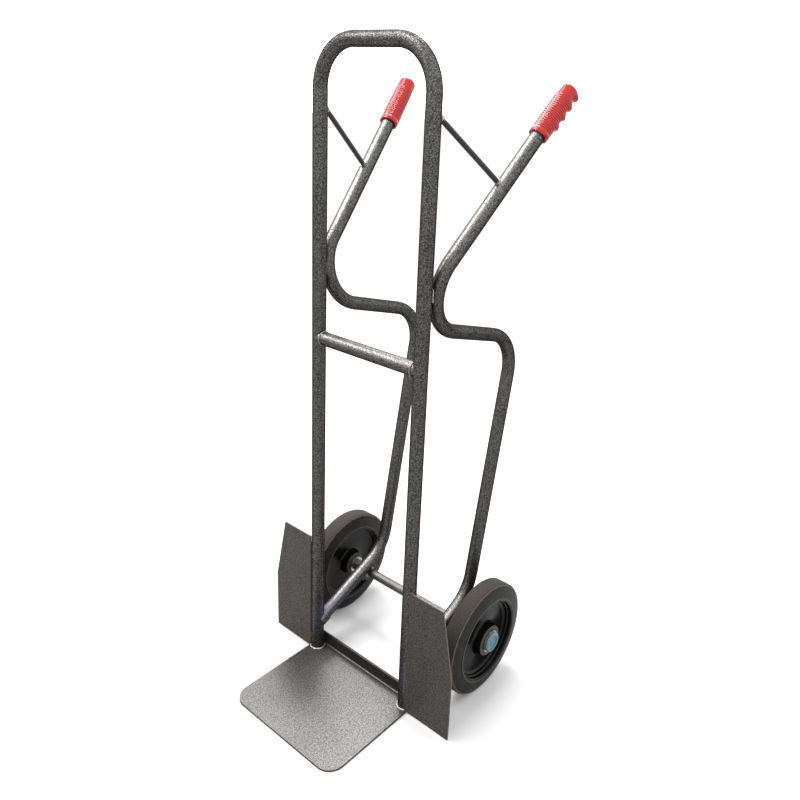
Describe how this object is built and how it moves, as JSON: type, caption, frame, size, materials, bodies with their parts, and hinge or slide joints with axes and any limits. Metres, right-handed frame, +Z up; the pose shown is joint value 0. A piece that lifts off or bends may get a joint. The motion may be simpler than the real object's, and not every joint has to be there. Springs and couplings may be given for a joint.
{
  "type": "hand truck",
  "caption": "Tall looped-tube hand truck with a folded toe plate, bent handle tubes that double as stair skids, flat wheel guards, red grips and solid rubber wheels on roller bearings.",
  "frame": {"origin": "on the floor, on the toe plate's underside, midway between the uprights' centre lines", "axes": "+X across the truck towards the side named right, +Y from the toe plate towards the handles and wheels, +Z up"},
  "size_m": [0.5238, 0.5614, 1.34],
  "materials": {
    "frame_paint": "hammered silver-grey paint with fine bright flecks",
    "plate_paint": "hammered silver-grey paint, lighter and more speckled",
    "guard_paint": "dark fine-textured hammered paint",
    "rod_black": "dark satin",
    "bare_steel": "turned, dull",
    "zinc": "bright zinc plate",
    "cap_blue": "smooth blue, glossy",
    "tyre": "dusty tread, dark sidewall",
    "rim_black": "glossy black",
    "bearing_steel": "ground",
    "cage_plastic": "pale nylon",
    "grip_red": "soft red grip material, half gloss",
    "weld": "bright bead, rippled"
  },
  "bodies": {
    "frame": {"main_frame": "frame_paint", "cross_bar": "frame_paint", "left_handle_tube": "frame_paint", "right_handle_tube": "frame_paint", "left_axle_bracket": "frame_paint", "right_axle_bracket": "frame_paint", "toe_plate": "plate_paint", "left_wheel_guard": "guard_paint", "right_wheel_guard": "guard_paint", "left_brace": "rod_black", "right_brace": "rod_black", "axle": "bare_steel", "left_spacer": "bare_steel", "right_spacer": "bare_steel", "left_inner_washers": "zinc", "right_inner_washers": "zinc", "left_outer_washer": "zinc", "right_outer_washer": "zinc", "left_axle_cap": "cap_blue", "right_axle_cap": "cap_blue", "left_grip": "grip_red", "right_grip": "grip_red", "foot_welds": "weld", "cross_bar_welds": "weld", "skid_foot_welds": "weld", "fold_welds": "weld", "brace_welds": "weld", "guard_welds": "weld", "bracket_welds": "weld"},
    "left_wheel": {"left_tyre": "tyre", "left_rim": "rim_black", "left_bearing_sleeve": "bearing_steel"},
    "left_cage": {"left_roller_cage": "cage_plastic", "left_rollers": "bearing_steel"},
    "right_wheel": {"right_tyre": "tyre", "right_rim": "rim_black", "right_bearing_sleeve": "bearing_steel"},
    "right_cage": {"right_roller_cage": "cage_plastic", "right_rollers": "bearing_steel"}
  },
  "joints": [
    {"name": "left_wheel_spin", "type": "hinge", "parent": "frame", "child": "left_wheel", "pos_m": [-0.2054, 0.16372, 0.125], "axis": [1, 0, 0], "continuous": true},
    {"name": "right_wheel_spin", "type": "hinge", "parent": "frame", "child": "right_wheel", "pos_m": [0.2054, 0.16372, 0.125], "axis": [1, 0, 0], "continuous": true},
    {"name": "left_cage_spin", "type": "hinge", "parent": "frame", "child": "left_cage", "pos_m": [-0.2054, 0.16372, 0.125], "axis": [1, 0, 0], "continuous": true},
    {"name": "right_cage_spin", "type": "hinge", "parent": "frame", "child": "right_cage", "pos_m": [0.2054, 0.16372, 0.125], "axis": [1, 0, 0], "continuous": true}
  ],
  "couplings": [
    {"joint": "left_cage_spin", "follows": "left_wheel_spin", "ratio": 0.5977},
    {"joint": "right_cage_spin", "follows": "right_wheel_spin", "ratio": 0.5977}
  ]
}
